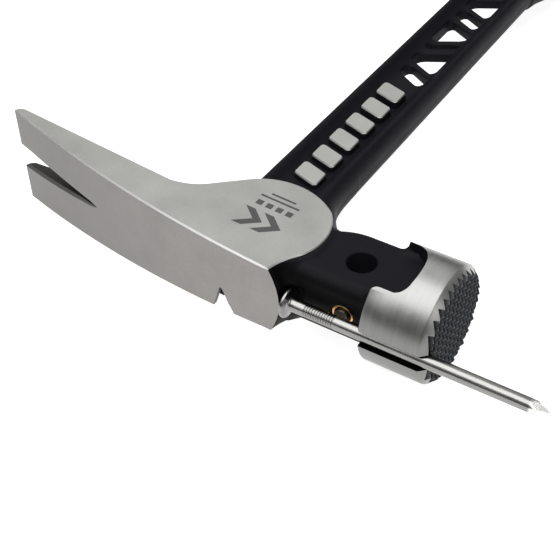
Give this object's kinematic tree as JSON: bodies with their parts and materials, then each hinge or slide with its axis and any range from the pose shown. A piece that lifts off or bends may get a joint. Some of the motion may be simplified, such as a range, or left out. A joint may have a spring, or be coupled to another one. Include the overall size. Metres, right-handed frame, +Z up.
{
  "type": "framing hammer",
  "caption": "Straight-claw framing hammer with milled striking face, magnetic nail starter, side nail puller, skeleton steel shank and rubber grip.",
  "frame": {"origin": "under the middle of the bounding box of the hammer lying on its side, on the surface it lies on", "axes": "+X along the head toward the striking face, +Y along the handle toward the butt, +Z up, square to the cheek"},
  "size_m": [0.198, 0.3966, 0.037],
  "materials": {
    "forged_steel": "satin ground steel",
    "black_coat": "matte black coating over the neck and shank",
    "milled_steel": "dark oxidised steel of the milled face",
    "brass_rim": "plain turned brass",
    "magnet_plate": "nickel-plated magnet",
    "bright_nail": "bright drawn wire",
    "hard_core": "moulded nylon",
    "soft_rubber": "soft-touch rubber",
    "inlay_rubber": "ribbed firm rubber",
    "cap_plastic": "moulded plastic",
    "eyelet_steel": "satin steel tube"
  },
  "bodies": {
    "hammer": {"forged_body": "forged_steel", "magnet_sleeve": "brass_rim", "nail_magnet": "magnet_plate", "grip_core": "hard_core", "grip_sleeve": "soft_rubber", "grip_inlay_top": "inlay_rubber", "grip_inlay_under": "inlay_rubber", "butt_cap": "cap_plastic", "lanyard_eyelet": "eyelet_steel"},
    "nail": {"nail": "bright_nail"}
  },
  "joints": [
    {"name": "nail_slide", "type": "slide", "parent": "hammer", "child": "nail", "axis": [0, -1, 0], "range_m": [0, 0.03]}
  ]
}
